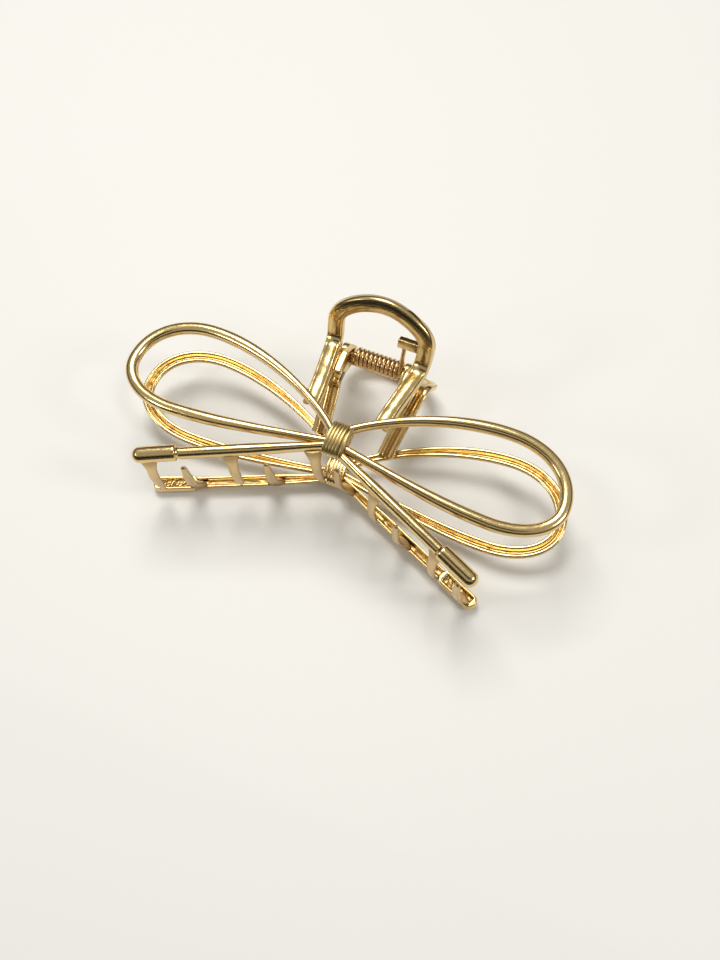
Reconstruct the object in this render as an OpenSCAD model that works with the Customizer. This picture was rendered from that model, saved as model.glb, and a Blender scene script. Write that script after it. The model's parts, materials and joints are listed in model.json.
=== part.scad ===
// Metal bow claw clip: two identical cast halves, a hinge pin and a torsion spring.
// Each half is drawn upright about the hinge line: X along the pin, Y up towards the
// handle and Z out through the front. The back half is the same casting turned about Y.
// place_clip() then lays the closed clip on its back half, as it rests on a table.

/* [Bow] */
// From the middle of the bow to the outer edge of a loop
bow_half_width = 54; // [46:0.5:64]
// From the hinge line down to the top of a loop's wire line
loop_top_drop = 9.2; // [8:0.1:12]
// How far out from the middle a loop is tallest
loop_top_out = 37.2; // [30:0.5:41]
// From the hinge line down to a loop's outermost point
loop_tip_drop = 21.5; // [18:0.1:26]
// From the hinge line down to a loop's lowest point
loop_bottom_drop = 30.6; // [27:0.1:34]
// How far out from the middle a loop is lowest
loop_bottom_out = 38; // [30:0.5:42]
// Width of a loop's strand
strand_w = 2.7; // [2:0.1:3.4]
// Width of each strand and tail where the knot binds them
bound_w = 1.9; // [1.4:0.1:2.4]
// Thickness of the strands and tails, front to back
strand_d = 2; // [1.8:0.1:3]
// Width of the two ridges along the back of each strand
ridge_w = 0.6; // [0.4:0.05:0.8]
// Depth of the channel between those ridges
channel_d = 0.8; // [0.3:0.05:1.2]
// Distance of the bow's wire line in front of the clip's middle plane, at the hinge
bow_rise = 9.4; // [8.6:0.1:11]
// Rise of the bow for each millimetre below the hinge
bow_slope = 0.042; // [0:0.001:0.06]
// Droop of the bow's ends towards the middle plane, at a loop's tip
bow_droop = 3; // [0:0.1:3.5]

/* [Knot] */
// From the hinge line down to the middle of the knot
knot_drop = 25; // [24:0.1:26.5]
// Height of the knot, across the strands
knot_h = 8.4; // [8:0.1:11]
// Thickness of the knot, front to back
knot_d = 5; // [4.4:0.1:6.4]
// Width of one wound turn
turn_w = 0.75; // [0.7:0.05:1]
// Number of turns wound side by side
turn_count = 5; // [4:1:6]
// Depth of the crease between two turns
turn_crease = 0.25; // [0.1:0.05:0.4]
// How far the turns sit to one side of the bow's middle
knot_shift = 0.8; // [0:0.1:0.8]
// Gap before the last turn, which sits a little apart
turn_gap = 0.3; // [0.1:0.05:0.6]

/* [Tails] */
// Angle of a tail below the hinge's direction
tail_angle = 23.5; // [15:0.1:32]
// From the hinge line down to the tail's start behind the knot
tail_start_drop = 26.9; // [26:0.1:29]
// Length of a tail from the knot's middle to its cap
tail_length = 33.2; // [28:0.5:44]
// Width of a tail at its cap
tail_w = 2.5; // [2:0.1:3.2]
// Diameter of the rounded cap on a tail's end
cap_d = 3.8; // [3.2:0.1:5]
// Length of the cap
cap_length = 10.8; // [6:0.5:16]
// Width of the fine groove between tail and cap
cap_groove = 0.5; // [0.3:0.05:0.8]
// How far behind its axis the cap is cut flat
cap_back = 1.1; // [0.6:0.1:1.5]

/* [Teeth] */
// Distance from the middle to the outermost tooth
tooth_reach = 37.9; // [33:0.1:39]
// Distance between neighbouring teeth of one half
tooth_pitch = 17.2; // [14:0.1:18]
// Number of teeth on each half
tooth_count = 5; // [3:1:5]
// Length of a tooth, front to back
tooth_length = 16; // [11:0.1:16.5]
// Width of a tooth's root along the tail
tooth_root_w = 4.4; // [3:0.1:5]
// Width of a tooth half way along
tooth_w = 2.4; // [1.6:0.1:2.8]
// Thickness of a tooth half way along
tooth_t = 1.4; // [1:0.1:1.6]
// How far a tooth stands off its tail's line, so that it passes the other half's tail
tooth_offset = 2.6; // [2.2:0.1:3.4]

/* [Handle] */
// Width of the handle's band
band_w = 4; // [3:0.1:4.6]
// Thickness of the handle's band
band_d = 2.4; // [2:0.1:3]
// Width of the rims along the back of the band
rim_w = 0.8; // [0.5:0.05:1.2]
// Depth of the hollow behind the band
hollow_d = 1.1; // [0.4:0.05:1.5]
// Distance of the legs from the clip's middle plane at the hinge
leg_rise = 5; // [4.6:0.1:6]
// Tilt of the legs towards the bow
leg_tilt = 12; // [6:0.5:14]
// Half the distance between the legs at the bow
leg_base_out = 8.5; // [7:0.1:10]
// From the hinge down to the legs' lower ends, along the leg
leg_length = 18.6; // [18:0.1:20]
// Half the distance between the arch's sides
arch_out = 11.1; // [11:0.1:14]
// Straight part of the arch's sides above the hinge
arch_side = 6; // [4:0.1:9]
// Height of the arch above the hinge, along its slope
arch_h = 13.3; // [11:0.1:18]
// Angle by which the handle is bent outward from the bow
handle_bend = 61; // [50:1:75]
// Length of band taken up by the bend
bend_length = 4.4; // [3:0.1:6]

/* [Hinge] */
// Diameter of the hinge pin
pin_d = 1.8; // [1.4:0.1:2.2]
// Clearance all round the pin in the lugs
pin_clearance = 0.04; // [0.02:0.01:0.1]
// Thickness of one lug plate
lug_t = 1.4; // [1:0.1:1.5]
// Gap between the two lugs on each side
lug_gap = 0.15; // [0.1:0.05:0.3]
// Radius of a lug round the pin
lug_r = 2.4; // [2:0.1:2.6]
// Diameter of the pin's peened heads
head_d = 3; // [2.4:0.1:3.6]
// Thickness of the pin's heads
head_t = 0.5; // [0.4:0.1:0.8]

/* [Spring] */
// Diameter of the spring's wire
wire_d = 1; // [0.7:0.05:1.1]
// Outside diameter of the spring's coil
coil_d = 4.8; // [4.4:0.1:5.4]
// Number of turns in the coil
coil_turns = 10; // [7:1:10]
// Gap between neighbouring turns
coil_gap = 0.06; // [0.04:0.01:0.1]
// Gap between each end of the coil's arms and the lug beside it
coil_end_gap = 0.1; // [0.05:0.05:0.4]
// Width of the block that the spring's arm presses on
tab_w = 5; // [4:0.1:6.5]
// Height of that block along the arch
tab_h = 2.2; // [2:0.1:3.5]
// Thickness of that block
tab_t = 1.8; // [1.4:0.1:2.2]
// From the hinge up to the middle of that block, along the arch
tab_up = 5.4; // [4.6:0.1:7]

/* [Hidden] */
$fn = 48;

gold = [0.83, 0.69, 0.42];
deep_gold = [0.72, 0.52, 0.3];

// How far a piece runs into the one that holds it
overlap = 0.4;
// Points round the front of a strand's outline
front_steps = 8;
// How square the front of a strand's outline is: 1 is an oval
front_round = 0.7;
// Widening of a ridge towards its foot
ridge_foot = 1.3;

function unit(v) = v / norm(v);
function mix(a, b, t) = a + (b - a) * t;
function ease(t) = let(c = min(1, max(0, t))) c * c * (3 - 2 * c);
function bezier(p, t) =
    pow(1 - t, 3) * p[0] + 3 * pow(1 - t, 2) * t * p[1] + 3 * (1 - t) * t * t * p[2] + pow(t, 3) * p[3];
function tangent(path, i) = unit(path[min(i + 1, len(path) - 1)] - path[max(i - 1, 0)]);
function flip(v) = [-v[0], v[1], v[2]];
function reversed(list) = [for (i = [len(list) - 1:-1:0]) list[i]];

// A strand's outline: rounded front, and a channel between two ridges along its back
function channel_outline(w, d, ridge, depth) = concat(
    [for (i = [0:front_steps]) let(a = 180 * i / front_steps)
        [w / 2 * cos(a), -d / 2 + d * pow(max(0, sin(a)), front_round)]],
    [
        [-w / 2 + ridge, -d / 2],
        [-w / 2 + ridge * ridge_foot, -d / 2 + depth],
        [w / 2 - ridge * ridge_foot, -d / 2 + depth],
        [w / 2 - ridge, -d / 2]
    ]
);

function round_outline(w, d, steps) =
    [for (i = [0:steps - 1]) let(a = 360 * i / steps) [w / 2 * cos(a), d / 2 * sin(a)]];

// Rings of points: each outline set square to the path, with its second axis towards outs
function rings(path, outs, outlines) = [
    for (i = [0:len(path) - 1])
        let(t = tangent(path, i), a = unit(cross(outs[i], t)), o = cross(t, a))
        [for (q = outlines[i]) path[i] + a * q[0] + o * q[1]]
];

module skin(ring_list) {
    n = len(ring_list[0]);
    last = len(ring_list) - 1;
    points = [for (r = ring_list) each r];
    faces = concat(
        [[for (k = [0:n - 1]) k]],
        [[for (k = [n - 1:-1:0]) last * n + k]],
        [for (i = [0:last - 1], k = [0:n - 1]) [i * n + k, (i + 1) * n + k, (i + 1) * n + (k + 1) % n]],
        [for (i = [0:last - 1], k = [0:n - 1]) [i * n + k, (i + 1) * n + (k + 1) % n, i * n + (k + 1) % n]]
    );
    polyhedron(points, faces, convexity = 6);
}

// The bow's gently domed surface, on which every wire line lies
droop_rate = bow_droop / pow(bow_half_width, 2);
function bow_z(x, y) = bow_rise - bow_slope * y - droop_rate * x * x;
function on_bow(p) = [p[0], p[1], bow_z(p[0], p[1])];
function bow_normal(p) = unit([2 * droop_rate * p[0], bow_slope, 1]);

// Knot
knot_y = -knot_drop;
turns_w = turn_w * turn_count;
knot_left = knot_shift - turns_w / 2;
knot_right = knot_shift + turns_w / 2 + turn_gap + turn_w;
knot_steps = 32;
// Share of its own width that a turn fills, and how far the core stays inside the turns' ends
turn_fill = 0.8;
core_inset = 0.1;
core_h = knot_h - 2 * turn_crease;
core_d = knot_d - 2 * turn_crease;

// Loop, as the line of its strand from the knot's upper end round to its lower end
tip_x = bow_half_width - strand_w / 2;
strand_start = -knot_left - overlap;
upper_y = knot_y + knot_h * 0.18;
lower_y = knot_y - knot_h * 0.1;
// Pull of each curve's ends: out of the knot, and along the loop's top, tip and bottom
upper_pull = [5, 5.2];
lower_pull = [15, -2.6];
top_pull = 15;
bottom_pull = 11;
round_share = 0.58;
loop_top = [loop_top_out, -loop_top_drop];
loop_tip = [tip_x, -loop_tip_drop];
loop_bottom = [loop_bottom_out, -loop_bottom_drop];
upper_end = [strand_start, upper_y];
lower_end = [strand_start, lower_y];
loop_curves = [
    [upper_end, upper_end + upper_pull, loop_top - [top_pull, 0], loop_top],
    [loop_top, loop_top + [round_share * (tip_x - loop_top_out), 0],
        loop_tip + [0, round_share * (loop_tip_drop - loop_top_drop)], loop_tip],
    [loop_tip, loop_tip - [0, round_share * (loop_bottom_drop - loop_tip_drop)],
        loop_bottom + [round_share * (tip_x - loop_bottom_out), 0], loop_bottom],
    [loop_bottom, loop_bottom - [bottom_pull, 0], lower_end + lower_pull, lower_end]
];
// A strand has its full width this far from the knot
full_width_run = 30;
loop_steps = [10, 6, 6, 10];
loop_line = concat(
    [for (c = [0:3], i = [0:loop_steps[c] - 1]) on_bow(bezier(loop_curves[c], i / loop_steps[c]))],
    [on_bow(loop_curves[3][3])]
);
function strand_width(x) = mix(bound_w, strand_w, ease((x - knot_right) / full_width_run));

// Tail, from behind the knot straight down to its cap
tail_dir = [cos(tail_angle), -sin(tail_angle)];
tail_down = [-sin(tail_angle), -cos(tail_angle)];
tail_start = [strand_start, -tail_start_drop];
function tail_at(s) = tail_start + tail_dir * s;
tail_steps = 5;
tail_line = [for (i = [0:tail_steps]) on_bow(tail_at(tail_length * i / tail_steps))];
function tail_width(s) = mix(bound_w, tail_w, ease(s / tail_length));
cap_start = tail_line[tail_steps];
cap_run = on_bow(tail_at(tail_length + cap_length)) - cap_start;
cap_fall = atan2(-cap_run[2], norm([cap_run[0], cap_run[1]]));

// Teeth: their distances from the middle, negative to the left
tooth_places = [for (i = [0:tooth_count - 1]) -tooth_reach + tooth_pitch * i];
tooth_steps = 8;
tooth_sides = 8;
// Size of the tip, extra thickness of the root, stand-off of the root and how deep it sits
tooth_tip = 0.8;
root_extra = 0.5;
root_offset = 0.6;
root_sink = 0.5;
// Width, thickness and stand-off at a share of the way from root to tip
function tooth_ring(t) = [
    mix(mix(tooth_root_w, tooth_w, ease(t * 3.2)), tooth_tip, ease((t - 0.55) * 2.2)),
    mix(mix(tooth_t + root_extra, tooth_t, ease(t * 3)), tooth_tip, ease((t - 0.6) * 2.4)),
    mix(root_offset, tooth_offset, ease(t * 1.9 + 0.05)) - 0.5 * ease((t - 0.7) * 3)
];

// Handle, drawn as a flat strip of (x, along) and then bent outward at the hinge
bend_turn = handle_bend + leg_tilt;
bend_r = bend_length / (bend_turn * PI / 180);
bend_reach = bend_r * tan(bend_turn / 2);
bend_begin = [-bend_reach * cos(leg_tilt), leg_rise + bend_reach * sin(leg_tilt)];
function bend_angle(v) = -leg_tilt + bend_turn * min(1, max(0, v / bend_length + 0.5));
function bend_yz(v) =
    v < -bend_length / 2 ? bend_begin + (v + bend_length / 2) * [cos(leg_tilt), -sin(leg_tilt)] :
    let(a = bend_angle(v), arc = bend_r * [sin(a) + sin(leg_tilt), cos(leg_tilt) - cos(a)])
    bend_begin + arc + max(0, v - bend_length / 2) * [cos(handle_bend), sin(handle_bend)];
function bent(p) = let(q = bend_yz(p[1])) [p[0], q[0], q[1]];
function bent_out(p) = [0, -sin(bend_angle(p[1])), cos(bend_angle(p[1]))];
// Points along the strip are counted from the bend's middle; heights from the hinge corner
corner_gap = bend_reach - bend_length / 2;
leg_splay = 0.5;
leg_pull = 2;
side_pull = 3.4;
crown_share = 0.45;
leg_curve = [
    [leg_base_out, -leg_length + corner_gap], [leg_base_out + leg_splay, -leg_length / 2],
    [arch_out, -leg_pull], [arch_out, arch_side - corner_gap]
];
arch_curve = [
    [arch_out, arch_side - corner_gap], [arch_out, arch_side + side_pull - corner_gap],
    [arch_out * crown_share, arch_h - corner_gap], [0, arch_h - corner_gap]
];
leg_steps = 14;
arch_steps = 9;
half_strip = concat(
    [for (i = [0:leg_steps - 1]) bezier(leg_curve, i / leg_steps)],
    [for (i = [0:arch_steps]) bezier(arch_curve, i / arch_steps)]
);
strip = concat(half_strip, [for (i = [len(half_strip) - 2:-1:0]) [-half_strip[i][0], half_strip[i][1]]]);
handle_line = [for (p = strip) bent(p)];
handle_rings = rings(handle_line, [for (p = strip) bent_out(p)],
    [for (p = strip) channel_outline(band_w, band_d, rim_w, hollow_d)]);

// Hinge, from the coil outward on each side
wire_r = wire_d / 2;
coil_r = (coil_d - wire_d) / 2;
coil_pitch = wire_d + coil_gap;
coil_half = coil_pitch * coil_turns / 2;
// Rings in each turn of the coil, and sides of its wire
coil_steps = 16;
wire_sides = 8;
arm_x = coil_half + coil_pitch / 2;
inner_lug = arm_x + wire_r + coil_end_gap;
outer_lug = inner_lug + lug_t + lug_gap;
pin_half = outer_lug + lug_t + lug_gap;
pin_r = pin_d / 2;
bore_r = pin_r + pin_clearance;
// Inner face of a leg, at the share of its curve that passes the hinge
leg_inside = bezier(leg_curve, 0.7)[0] - band_w / 2;
// Web from a lug's boss up to its leg: how far it runs down the leg, and its foot
web_run = 5;
web_heel = 2;
web_top = leg_rise + band_d / 4;
bridge_d = band_d / 2 + 0.6;

// Where the spring's arm rests, just under the tab's lower edge, and its end past it
tab_gap = 0.03;
arm_past = 2.7;
handle_dir = [cos(handle_bend), sin(handle_bend)];
tab_mid = bend_yz(tab_up - corner_gap);
tab_edge = tab_mid - tab_h / 2 * handle_dir;
arm_rest = tab_edge + (tab_t / 2 + wire_r + tab_gap) * [handle_dir[1], -handle_dir[0]];
arm_turn = atan2(arm_rest[1], arm_rest[0]) + acos(coil_r / norm(arm_rest));
arm_foot = coil_r * [cos(arm_turn), sin(arm_turn)];
arm_run = arm_rest - arm_foot;
arm_angle = atan2(arm_run[1], arm_run[0]);
arm_length = norm(arm_run) + arm_past;

// Resting pose: the end of the back handle and both back caps touch the table
handle_points = [for (r = handle_rings) each r];
handle_end = handle_line[leg_steps + arch_steps];
cap_end = cap_start + unit(cap_run) * (cap_length - cap_d / 2);
function tilted_y(y, z, tilt) = y * cos(tilt) - z * sin(tilt);
function tilted_z(y, z, tilt) = y * sin(tilt) + z * cos(tilt);
function handle_low(tilt) = min([for (p = handle_points) tilted_z(p[1], -p[2], tilt)]);
function cap_low(tilt) = tilted_z(cap_end[1], -cap_end[2], tilt) - cap_d / 2;
// The tilt of a line from one to the other, put right by the gap that it would leave
lean = handle_end - cap_end;
line_tilt = atan2(lean[2], lean[1]);
rest_tilt = line_tilt + (cap_low(line_tilt) - handle_low(line_tilt)) / lean[1] * 180 / PI;
rest_z = -min(handle_low(rest_tilt), cap_low(rest_tilt));
far_y = max([for (p = handle_points) tilted_y(p[1], -p[2], rest_tilt)]);
near_y = tilted_y(cap_end[1], cap_end[2], rest_tilt) - cap_d / 2;
rest_y = -(far_y + near_y) / 2;

module place_clip() {
    translate([0, rest_y, rest_z])
        rotate([rest_tilt, 0, 0])
            children();
}

module front_half() {
    place_clip()
        children();
}

module back_half() {
    place_clip()
        rotate([0, 180, 0])
            children();
}

module loop(side) {
    line = side > 0 ? loop_line : reversed([for (p = loop_line) flip(p)]);
    color(gold)
        skin(rings(line, [for (p = line) bow_normal(p)],
            [for (p = line) channel_outline(strand_width(abs(p[0])), strand_d, ridge_w, channel_d)]));
}

// Ridged oval block: wound turns side by side round the strands
module knot() {
    color(gold)
        translate([0, knot_y, bow_z(0, knot_y)])
            rotate([90, 0, 90])
                union() {
                    translate([0, 0, knot_left + core_inset])
                        linear_extrude(knot_right - knot_left - 2 * core_inset)
                            polygon(round_outline(core_h, core_d, knot_steps));
                    for (i = [0:turn_count])
                        translate([0, 0, i < turn_count ? knot_left + turn_w * i : knot_right - turn_w])
                            linear_extrude(turn_w * turn_fill)
                                polygon(round_outline(knot_h, knot_d, knot_steps));
                }
}

module tail(side) {
    line = side > 0 ? tail_line : reversed([for (p = tail_line) flip(p)]);
    places = side > 0 ? [0:tail_steps] : [tail_steps:-1:0];
    widths = [for (i = places) tail_width(tail_length * i / tail_steps)];
    color(gold)
        skin(rings(line, [for (p = line) bow_normal(p)],
            [for (w = widths) channel_outline(w, strand_d, ridge_w, channel_d)]));
}

// Outline of half a cap along its axis: neck, body and round end
cap_r = cap_d / 2;
neck_r = cap_r - 0.6;
end_steps = 8;
cap_outline = concat(
    [[0, 0], [neck_r, 0], [neck_r, cap_groove], [cap_r, cap_groove]],
    [for (i = [0:end_steps - 1]) let(a = 90 * i / end_steps)
        [cap_r * cos(a), cap_length - cap_r + cap_r * sin(a)]],
    [[0, cap_length]]
);

// Rounded cap with a fine groove at its neck, cut flat along the back
module right_cap() {
    color(gold)
        translate(cap_start)
            rotate([0, 0, -tail_angle])
                rotate([0, cap_fall, 0])
                    difference() {
                        rotate([0, 90, 0])
                            rotate_extrude()
                                polygon(cap_outline);
                        translate([-overlap, -cap_d, -cap_d - cap_back])
                            cube([cap_length + 2 * overlap, 2 * cap_d, cap_d]);
                    }
}

module left_cap() {
    mirror([1, 0, 0])
        right_cap();
}

module tooth(place) {
    side = sign(place);
    s = (abs(place) - tail_start[0]) / tail_dir[0];
    foot = on_bow(tail_at(s));
    root_z = foot[2] - strand_d / 2 + root_sink;
    shares = [for (i = [0:tooth_steps]) i / tooth_steps];
    line = [for (t = shares) let(r = tooth_ring(t))
        [foot[0] + tail_down[0] * r[2], foot[1] + tail_down[1] * r[2], root_z - tooth_length * t]];
    across = [tail_dir[0], tail_dir[1], 0];
    outlines = [for (t = shares) let(r = tooth_ring(t)) round_outline(r[1], r[0], tooth_sides)];
    mirror([side < 0 ? 1 : 0, 0, 0])
        skin(rings(line, [for (t = shares) across], outlines));
}

module teeth(side) {
    color(gold)
        union()
            for (place = tooth_places)
                if (sign(place) == side)
                    tooth(place);
}

module handle() {
    color(gold)
        skin(handle_rings);
}

// One lug plate: a boss round the pin, and a web up to a bridge on the leg
module lug(x, reach_to) {
    difference() {
        union() {
            translate([x, 0, 0])
                rotate([90, 0, 90])
                    linear_extrude(lug_t) {
                        circle(r = lug_r);
                        polygon([
                            [-lug_r - web_heel, -lug_r / 4], [-lug_r * 0.62, -lug_r * 0.78],
                            [lug_r * 0.9, lug_r / 3], [lug_r * 0.8, web_top], [-lug_r - web_run, web_top]
                        ]);
                    }
            translate([min(x, reach_to), -lug_r - web_run + overlap, leg_rise - bridge_d])
                cube([abs(reach_to - x) + lug_t, lug_r + web_run + 1, bridge_d]);
        }
        translate([x - lug_t, 0, 0])
            rotate([0, 90, 0])
                cylinder(h = 3 * lug_t, r = bore_r);
    }
}

// The left lug sits next to the coil and the right one outside the other half's lug
module hinge_lugs() {
    color(gold)
        union() {
            lug(-inner_lug - lug_t, -leg_inside - overlap);
            lug(outer_lug, leg_inside + overlap - lug_t);
        }
}

module spring_tab() {
    tab_end = arch_out - band_w / 2 + overlap;
    color(gold)
        translate([0, tab_mid[0], tab_mid[1]])
            rotate([handle_bend, 0, 0])
                translate([tab_end - tab_w, -tab_h / 2, -tab_t / 2])
                    cube([tab_w, tab_h, tab_t]);
}

module hinge_pin() {
    color(deep_gold)
        place_clip()
            rotate([0, 90, 0])
                union() {
                    cylinder(h = 2 * pin_half, r = pin_r, center = true);
                    for (end = [-1, 1])
                        translate([0, 0, end * (pin_half + head_t / 2)])
                            cylinder(h = head_t, d = head_d, center = true);
                }
}

// A straight arm from the coil's end to just past the tab
module spring_arm() {
    color(deep_gold)
        translate([arm_x, arm_foot[0], arm_foot[1]])
            rotate([arm_angle - 90, 0, 0])
                cylinder(h = arm_length, r = wire_r);
}

// The coil with its back arm. It ends half a turn short of the front arm, which swings past it
module torsion_spring() {
    line = [for (i = [0:coil_steps * (coil_turns - 0.5)]) let(a = arm_turn + 360 * i / coil_steps)
        [-coil_half + coil_pitch * i / coil_steps, coil_r * cos(a), coil_r * sin(a)]];
    wire = round_outline(wire_d, wire_d, wire_sides);
    color(deep_gold)
        place_clip() {
            skin(rings(line, [for (p = line) [0, p[1], p[2]]], [for (p = line) wire]));
            rotate([0, 180, 0])
                spring_arm();
        }
}

module spring_front_arm() {
    place_clip()
        spring_arm();
}

front_half() loop(-1);  // front_left_loop
front_half() loop(1);  // front_right_loop
front_half() knot();  // front_knot
front_half() tail(-1);  // front_left_tail
front_half() tail(1);  // front_right_tail
front_half() left_cap();  // front_left_cap
front_half() right_cap();  // front_right_cap
front_half() teeth(-1);  // front_left_teeth
front_half() teeth(1);  // front_right_teeth
front_half() handle();  // front_handle
front_half() hinge_lugs();  // front_hinge_lugs
front_half() spring_tab();  // front_spring_tab
back_half() loop(1);  // back_left_loop
back_half() loop(-1);  // back_right_loop
back_half() knot();  // back_knot
back_half() tail(1);  // back_left_tail
back_half() tail(-1);  // back_right_tail
back_half() right_cap();  // back_left_cap
back_half() left_cap();  // back_right_cap
back_half() teeth(1);  // back_left_teeth
back_half() teeth(-1);  // back_right_teeth
back_half() handle();  // back_handle
back_half() hinge_lugs();  // back_hinge_lugs
back_half() spring_tab();  // back_spring_tab
hinge_pin();
torsion_spring();
spring_front_arm();
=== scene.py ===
import json
import math

import bmesh
import bpy
import numpy as np
from mathutils import Matrix, Quaternion, Vector


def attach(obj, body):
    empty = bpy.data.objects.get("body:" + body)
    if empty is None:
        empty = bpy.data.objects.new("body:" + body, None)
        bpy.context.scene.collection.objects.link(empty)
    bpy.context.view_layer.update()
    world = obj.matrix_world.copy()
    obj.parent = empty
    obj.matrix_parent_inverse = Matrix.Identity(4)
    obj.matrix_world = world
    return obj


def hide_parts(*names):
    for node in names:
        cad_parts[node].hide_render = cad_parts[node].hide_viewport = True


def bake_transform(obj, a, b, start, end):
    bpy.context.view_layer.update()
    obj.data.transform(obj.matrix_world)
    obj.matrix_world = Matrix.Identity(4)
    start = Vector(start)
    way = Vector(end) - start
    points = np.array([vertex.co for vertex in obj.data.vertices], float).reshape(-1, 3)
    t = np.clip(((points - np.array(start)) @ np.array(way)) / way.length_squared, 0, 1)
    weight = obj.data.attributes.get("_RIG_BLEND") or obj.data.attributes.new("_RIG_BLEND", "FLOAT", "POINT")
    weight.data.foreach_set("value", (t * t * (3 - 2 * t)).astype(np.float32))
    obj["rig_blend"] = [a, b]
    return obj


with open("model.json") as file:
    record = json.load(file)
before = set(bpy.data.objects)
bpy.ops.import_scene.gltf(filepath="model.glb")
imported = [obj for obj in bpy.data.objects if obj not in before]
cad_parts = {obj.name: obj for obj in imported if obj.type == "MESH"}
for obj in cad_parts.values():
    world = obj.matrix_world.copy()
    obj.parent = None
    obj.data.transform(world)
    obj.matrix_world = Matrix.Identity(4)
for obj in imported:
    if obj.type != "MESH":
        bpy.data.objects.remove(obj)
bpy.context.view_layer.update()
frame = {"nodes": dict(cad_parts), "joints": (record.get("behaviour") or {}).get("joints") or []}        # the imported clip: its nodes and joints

mm = 0.001
print("frame loaded:", len(frame["nodes"]), "nodes")


# Every casting is drawn upright about the hinge, X along the pin, Y up to the handle and
# Z out through the bow. The clip then leans back until its rear caps touch the table.
resting = {"tilt": 7.538}        # degrees

hinge = Vector(frame["joints"][0]["pos_m"])
frontPlace = Matrix.Translation(hinge) @ Matrix.Rotation(math.radians(resting["tilt"]), 4, "X")
backPlace = frontPlace @ Matrix.Rotation(math.pi, 4, "Y")
halves = {
    "front": {"place": frontPlace, "body": "front_jaw", "seed": 3},
    "back": {"place": backPlace, "body": "back_jaw", "seed": 11},
}


def halfCastings():
    # left and right of each casting, with the side each is seen on from the front
    for side, half in halves.items():
        for right in (False, True):
            yield side, half, right, "right" if right == (side == "front") else "left"


def addNode(tree, kind, inputs=None, **settings):
    node = tree.nodes.new(kind)
    for name, value in settings.items():
        setattr(node, name, value)
    for socket, value in (inputs or {}).items():
        if isinstance(value, bpy.types.NodeSocket):
            tree.links.new(value, node.inputs[socket])
        else:
            node.inputs[socket].default_value = value
    return node


def treeOf(*values):
    # the node tree that the first socket among the values lives in
    return next(v for v in values if isinstance(v, bpy.types.NodeSocket)).id_data


def calc(operation, *values, clamp=False):
    node = addNode(treeOf(*values), "ShaderNodeMath", dict(enumerate(values)), operation=operation)
    node.use_clamp = clamp
    return node.outputs[0]


def plus(a, b):
    return calc("ADD", a, b)


def minus(a, b):
    return calc("SUBTRACT", a, b)


def times(a, b):
    return calc("MULTIPLY", a, b)


def over(a, b):
    return calc("DIVIDE", a, b)


def timesPlus(a, b, c):
    return calc("MULTIPLY_ADD", a, b, c)


def blendOf(first, second, share):
    return timesPlus(share, minus(second, first), first)


def archOf(steep, least=0.0):
    # an arch's height, 1 in its middle, as steep goes from 0 to 1 at its foot
    return calc("SQRT", calc("MAXIMUM", minus(1.0, steep), least))


def vectorCalc(operation, *values):
    scaled = operation == "SCALE"
    inputs = {3 if scaled and i == 1 else i: value for i, value in enumerate(values)}
    return addNode(treeOf(*values), "ShaderNodeVectorMath", inputs, operation=operation).outputs[0]


def shifted(spot, way, distance):
    return vectorCalc("ADD", spot, vectorCalc("SCALE", way, distance))


def here(tree):
    return addNode(tree, "GeometryNodeInputPosition").outputs[0]


def moveTo(geometry, spot):
    inputs = {"Geometry": geometry, "Position": spot}
    return addNode(treeOf(geometry), "GeometryNodeSetPosition", inputs).outputs[0]


def axes(vector):
    return addNode(treeOf(vector), "ShaderNodeSeparateXYZ", {0: vector}).outputs


def fromAxes(x, y, z):
    return addNode(treeOf(x, y, z), "ShaderNodeCombineXYZ", {0: x, 1: y, 2: z}).outputs[0]


def between(value, low, high, toLow=0.0, toHigh=1.0):
    # a smooth step of value from low to high
    node = addNode(
        treeOf(value), "ShaderNodeMapRange",
        {"Value": value, "From Min": low, "From Max": high, "To Min": toLow, "To Max": toHigh},
        interpolation_type="SMOOTHSTEP",
    )
    return node.outputs["Result"]


def colourMix(share, first, second):
    inputs = {0: share, 6: first, 7: second}
    return addNode(treeOf(share), "ShaderNodeMix", inputs, data_type="RGBA").outputs[2]


def noise(spot, scale, detail, roughness=0.5):
    inputs = {"Vector": spot, "Scale": scale, "Detail": detail, "Roughness": roughness}
    return addNode(treeOf(spot), "ShaderNodeTexNoise", inputs).outputs["Fac"]


def newGroup(name, kind, inputs, outputs):
    # a node group with its named inputs and outputs, and its two ends
    group = bpy.data.node_groups.new(name, kind)
    for label, (socketKind, value) in inputs.items():
        socket = group.interface.new_socket(label, in_out="INPUT", socket_type="NodeSocket" + socketKind)
        if value is not None:
            socket.default_value = value
    for label, socketKind in outputs.items():
        group.interface.new_socket(label, in_out="OUTPUT", socket_type="NodeSocket" + socketKind)
    return group, group.nodes.new("NodeGroupInput").outputs, group.nodes.new("NodeGroupOutput").inputs


def newTree(name, sizes):
    inputs = {"Geometry": ("Geometry", None), **sizes, "Material": ("Material", None)}
    return newGroup(name, "GeometryNodeTree", inputs, {"Geometry": "Geometry"})


def newEffect(name, inputs, outputs):
    return newGroup(name, "ShaderNodeTree", inputs, outputs)


def labelOf(name):
    # turns lastGap into Last Gap
    return name[0].upper() + "".join(" " + c if c.isupper() else c for c in name[1:])


def millimetres(**sizes):
    # length inputs for a new tree, from camelCase names
    return {labelOf(name): ("Float", value * mm) for name, value in sizes.items()}


def lengthsIn(sizes, *names):
    # the same inputs' values when the tree is used
    return {labelOf(name): sizes[name] * mm for name in names}


def readAttribute(tree, name, kind="FLOAT"):
    return addNode(tree, "GeometryNodeInputNamedAttribute", {"Name": name}, data_type=kind).outputs[0]


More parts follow.
